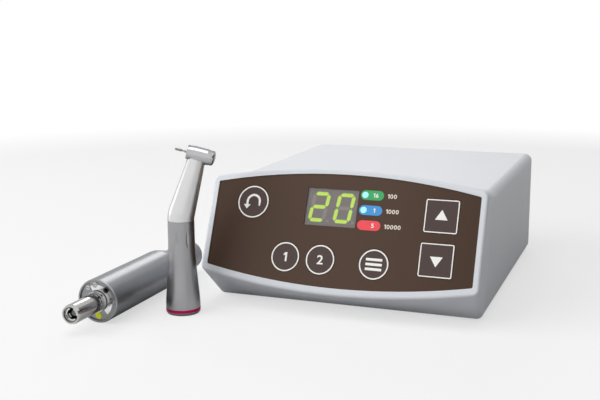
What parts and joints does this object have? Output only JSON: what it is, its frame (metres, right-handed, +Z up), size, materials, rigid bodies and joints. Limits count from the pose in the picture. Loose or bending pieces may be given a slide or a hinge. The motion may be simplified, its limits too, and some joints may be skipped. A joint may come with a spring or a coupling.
{
  "type": "dental micromotor",
  "caption": "Table-top dental micromotor: tilted control unit with keys and display, motor handpiece with coupling nose, and contra-angle handpiece with geared bur drive.",
  "frame": {"origin": "middle of the set's footprint, at table level", "axes": "+X to the control unit's right, +Y to its back, +Z up"},
  "size_m": [0.2121, 0.2876, 0.0958],
  "materials": {
    "case_grey": "satin",
    "rear_grey": "satin",
    "base_grey": "textured",
    "foot_rubber": "matt",
    "screw_steel": "zinc plated",
    "panel_film": "satin film",
    "key_film": "satin film with a light outline",
    "display_glass": "clear",
    "display_body": "matt",
    "display_lit": "lit",
    "lens_plastic": "translucent, one green, one blue, one red",
    "lamp_plastic": "clear",
    "board_green": "lacquered",
    "black_plastic": "matt",
    "can_aluminium": "bright",
    "cable_grey": "matt",
    "socket_chrome": "bright",
    "black_gloss": "gloss",
    "motor_steel": "satin",
    "flange_steel": "satin",
    "nose_chrome": "polished",
    "dark_steel": "ground",
    "core_iron": "laminated",
    "winding_copper": "enamelled wire",
    "lamp_yellow": "clear",
    "ring_crimson": "anodised",
    "shell_steel": "satin",
    "head_chrome": "polished",
    "light_glass": "clear",
    "sleeve_brass": "machined",
    "bearing_steel": "ground"
  },
  "bodies": {
    "control_unit": {"front_frame": "case_grey", "top_cover": "case_grey", "base_plate": "base_grey", "rear_panel": "rear_grey", "rubber_feet": "foot_rubber", "housing_screws": "screw_steel", "face_panel": "panel_film", "display_window": "display_glass", "display_module": "display_body", "display_segments": "display_lit", "ratio_lenses": "lens_plastic", "indicator_lamps": "lamp_plastic", "key_board": "board_green", "tact_switches": "black_plastic", "main_board": "board_green", "board_screws": "screw_steel", "board_parts": "black_plastic", "filter_capacitors": "can_aluminium", "heat_sink": "can_aluminium", "panel_cable": "cable_grey", "air_water_manifold": "can_aluminium", "motor_hose_socket": "socket_chrome", "unit_hose_inlet": "socket_chrome", "power_jack": "socket_chrome", "power_switch_frame": "black_plastic"},
    "motor": {"motor_shell": "motor_steel", "front_flange": "flange_steel", "coupling_nose": "nose_chrome", "motor_seals": "foot_rubber", "motor_bearings": "bearing_steel", "stator_core": "core_iron", "stator_windings": "winding_copper", "motor_lamp": "lamp_yellow", "face_screws": "screw_steel", "hose_insert": "black_plastic"},
    "rotor": {"rotor": "dark_steel", "drive_dog": "dark_steel"},
    "contra_angle": {"base_ring": "dark_steel", "colour_ring": "ring_crimson", "handle_shell": "shell_steel", "neck_shell": "shell_steel", "light_window": "light_glass", "head_housing": "head_chrome", "head_cap": "head_chrome", "button_spring": "screw_steel", "inner_sleeves": "sleeve_brass", "contra_bearings": "bearing_steel"},
    "input_shaft": {"input_shaft": "dark_steel"},
    "middle_shaft": {"middle_shaft": "dark_steel"},
    "neck_shaft": {"neck_shaft": "dark_steel"},
    "chuck_spindle": {"chuck_spindle": "dark_steel"},
    "push_button": {"push_button": "head_chrome"},
    "bur": {"bur": "screw_steel"},
    "power_rocker": {"power_rocker": "black_gloss"},
    "reverse_key": {"reverse_key": "key_film"},
    "memory_key_1": {"memory_key_1": "key_film"},
    "memory_key_2": {"memory_key_2": "key_film"},
    "select_key": {"select_key": "key_film"},
    "speed_up_key": {"speed_up_key": "key_film"},
    "speed_down_key": {"speed_down_key": "key_film"}
  },
  "joints": [
    {"name": "reverse_key_press", "type": "slide", "parent": "control_unit", "child": "reverse_key", "axis": [0, 0.9171, -0.3987], "range_m": [0, 0.0005], "stiffness_N_per_m": 400, "springref_m": -0.002},
    {"name": "memory_key_1_press", "type": "slide", "parent": "control_unit", "child": "memory_key_1", "axis": [0, 0.9171, -0.3987], "range_m": [0, 0.0005], "stiffness_N_per_m": 400, "springref_m": -0.002},
    {"name": "memory_key_2_press", "type": "slide", "parent": "control_unit", "child": "memory_key_2", "axis": [0, 0.9171, -0.3987], "range_m": [0, 0.0005], "stiffness_N_per_m": 400, "springref_m": -0.002},
    {"name": "select_key_press", "type": "slide", "parent": "control_unit", "child": "select_key", "axis": [0, 0.9171, -0.3987], "range_m": [0, 0.0005], "stiffness_N_per_m": 400, "springref_m": -0.002},
    {"name": "speed_up_key_press", "type": "slide", "parent": "control_unit", "child": "speed_up_key", "axis": [0, 0.9171, -0.3987], "range_m": [0, 0.0005], "stiffness_N_per_m": 400, "springref_m": -0.002},
    {"name": "speed_down_key_press", "type": "slide", "parent": "control_unit", "child": "speed_down_key", "axis": [0, 0.9171, -0.3987], "range_m": [0, 0.0005], "stiffness_N_per_m": 400, "springref_m": -0.002},
    {"name": "power_rocker_tilt", "type": "hinge", "parent": "control_unit", "child": "power_rocker", "pos_m": [-0.02917, 0.13194, 0.036], "axis": [0, 0, 1], "range_deg": [0, 16]},
    {"name": "motor_lift", "type": "slide", "parent": "control_unit", "child": "motor", "axis": [0, 0, 1], "range_m": [0, 0.2]},
    {"name": "contra_angle_lift", "type": "slide", "parent": "control_unit", "child": "contra_angle", "axis": [0, 0, 1], "range_m": [0, 0.2]},
    {"name": "rotor_spin", "type": "hinge", "parent": "motor", "child": "rotor", "pos_m": [-0.09377, -0.11784, 0.01235], "axis": [0, -1, 0], "continuous": true},
    {"name": "input_spin", "type": "hinge", "parent": "contra_angle", "child": "input_shaft", "pos_m": [-0.05908, -0.08324, 0], "axis": [0, 0, 1], "continuous": true},
    {"name": "middle_spin", "type": "hinge", "parent": "contra_angle", "child": "middle_shaft", "pos_m": [-0.05661, -0.0823, 0], "axis": [0, 0, 1], "continuous": true},
    {"name": "neck_spin", "type": "hinge", "parent": "contra_angle", "child": "neck_shaft", "pos_m": [-0.05908, -0.08324, 0.0559], "axis": [0.2718, 0.1032, 0.9568], "continuous": true},
    {"name": "spindle_spin", "type": "hinge", "parent": "contra_angle", "child": "chuck_spindle", "pos_m": [-0.04927, -0.07951, 0.09044], "axis": [-0.903, -0.343, 0.2588], "continuous": true},
    {"name": "button_press", "type": "slide", "parent": "contra_angle", "child": "push_button", "axis": [-0.903, -0.343, 0.2588], "range_m": [0, 0.0005], "stiffness_N_per_m": 2000, "springref_m": -0.002},
    {"name": "bur_pull", "type": "slide", "parent": "chuck_spindle", "child": "bur", "axis": [-0.903, -0.343, 0.2588], "range_m": [0, 0.012]}
  ],
  "couplings": [
    {"joint": "middle_spin", "follows": "input_spin", "ratio": 2.5},
    {"joint": "neck_spin", "follows": "input_spin", "ratio": 2.5},
    {"joint": "spindle_spin", "follows": "input_spin", "ratio": -5}
  ]
}
